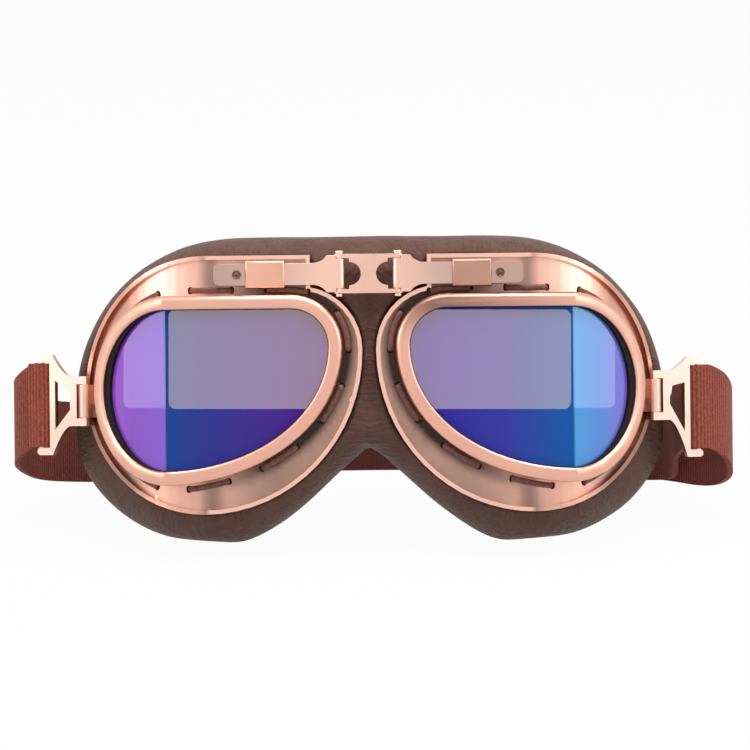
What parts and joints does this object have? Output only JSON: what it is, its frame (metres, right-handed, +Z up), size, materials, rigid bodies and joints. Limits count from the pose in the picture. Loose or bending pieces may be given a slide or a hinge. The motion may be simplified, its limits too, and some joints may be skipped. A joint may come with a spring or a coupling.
{
  "type": "motorcycle goggles",
  "caption": "Vintage riding goggles: hinged copper eyecups with bent mirror lenses, laced to a padded leatherette face seal, on an elastic strap with cast buckles.",
  "frame": {"origin": "on the floor under the middle of the goggles' width and depth", "axes": "+X to the right side as seen from the front, -Y the way the lenses face, +Z up; left nodes are at -X"},
  "size_m": [0.2185, 0.1062, 0.0905],
  "materials": {
    "cup_metal": "satin",
    "rim_metal": "satin",
    "bright_metal": "gloss",
    "buckle_metal": "gloss",
    "dark_metal": "satin",
    "mirror_lens": "polished",
    "black_rubber": "matte",
    "lace_leather": "satin",
    "leatherette": "satin",
    "lining": "matte",
    "elastic_webbing": "matte"
  },
  "bodies": {
    "bridge": {"bridge_plate": "bright_metal", "left_hinge_pin": "buckle_metal", "right_hinge_pin": "buckle_metal", "face_pad": "leatherette", "pad_lining": "lining", "head_strap": "elastic_webbing"},
    "left_cup": {"left_cup_flange": "cup_metal", "left_lens_rim": "rim_metal", "left_lens": "mirror_lens", "left_lens_gasket": "black_rubber", "left_lace": "lace_leather", "left_bridge_arm": "bright_metal", "left_arm_clip": "bright_metal", "left_arm_rivet": "dark_metal", "left_strap_lug": "buckle_metal"},
    "right_cup": {"right_cup_flange": "cup_metal", "right_lens_rim": "rim_metal", "right_lens": "mirror_lens", "right_lens_gasket": "black_rubber", "right_lace": "lace_leather", "right_bridge_arm": "bright_metal", "right_arm_clip": "bright_metal", "right_arm_rivet": "dark_metal", "right_strap_lug": "buckle_metal"},
    "left_buckle": {"left_buckle": "buckle_metal"},
    "right_buckle": {"right_buckle": "buckle_metal"},
    "slider": {"strap_slider": "buckle_metal"}
  },
  "joints": [
    {"name": "left_fold", "type": "hinge", "parent": "bridge", "child": "left_cup", "pos_m": [-0.0085, -0.03366, 0.08255], "axis": [0, -0.2419, -0.9703], "range_deg": [-8, 18], "stiffness_Nm_per_rad": 0.5, "deforming": ["face_pad", "pad_lining", "head_strap"]},
    {"name": "left_buckle_swing", "type": "hinge", "parent": "left_cup", "child": "left_buckle", "pos_m": [-0.08508, -0.02132, 0.04201], "axis": [0, -0.2419, -0.9703], "range_deg": [-40, 25], "stiffness_Nm_per_rad": 0.01, "deforming": ["head_strap"]},
    {"name": "right_fold", "type": "hinge", "parent": "bridge", "child": "right_cup", "pos_m": [0.0085, -0.03366, 0.08255], "axis": [0, 0.2419, 0.9703], "range_deg": [-8, 18], "stiffness_Nm_per_rad": 0.5, "deforming": ["face_pad", "pad_lining", "head_strap"]},
    {"name": "right_buckle_swing", "type": "hinge", "parent": "right_cup", "child": "right_buckle", "pos_m": [0.08508, -0.02132, 0.04201], "axis": [0, 0.2419, 0.9703], "range_deg": [-40, 25], "stiffness_Nm_per_rad": 0.01, "deforming": ["head_strap"]},
    {"name": "slider_slide", "type": "slide", "parent": "right_cup", "child": "slider", "axis": [-0.7524, 0.6391, -0.1594], "range_m": [-0.004, 0.01], "deforming": ["head_strap"]}
  ]
}
